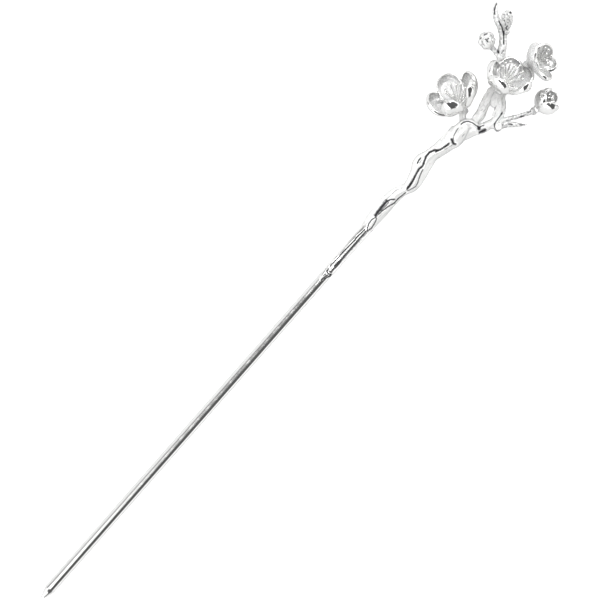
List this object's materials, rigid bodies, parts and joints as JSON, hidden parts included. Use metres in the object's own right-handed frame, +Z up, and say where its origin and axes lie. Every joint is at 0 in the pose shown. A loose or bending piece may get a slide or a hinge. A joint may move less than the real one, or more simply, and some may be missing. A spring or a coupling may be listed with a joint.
{
  "type": "hair stick",
  "caption": "Straight round silver hair stick whose thick end grows into a gnarled plum branch with open blossoms and buds.",
  "frame": {"origin": "middle of the bounding box, on the surface that the stick lies on", "axes": "+X along the pin from its point towards the blossoms, +Y to the left of it, +Z up, the side that the blossoms face"},
  "size_m": [0.1804, 0.0284, 0.015],
  "materials": {
    "polished_silver": "mirror polished drawn silver rod",
    "bark_silver": "cast silver, polished high places, darker grooves",
    "petal_silver": "cast silver, frosted inside the petals, polished rims and backs"
  },
  "bodies": {
    "root": {"shank": "polished_silver", "branch": "bark_silver", "blossom_left": "petal_silver", "blossom_middle": "petal_silver", "blossom_right": "petal_silver", "bud_right": "petal_silver", "bud_small": "petal_silver", "bud_top": "petal_silver"}
  },
  "joints": []
}
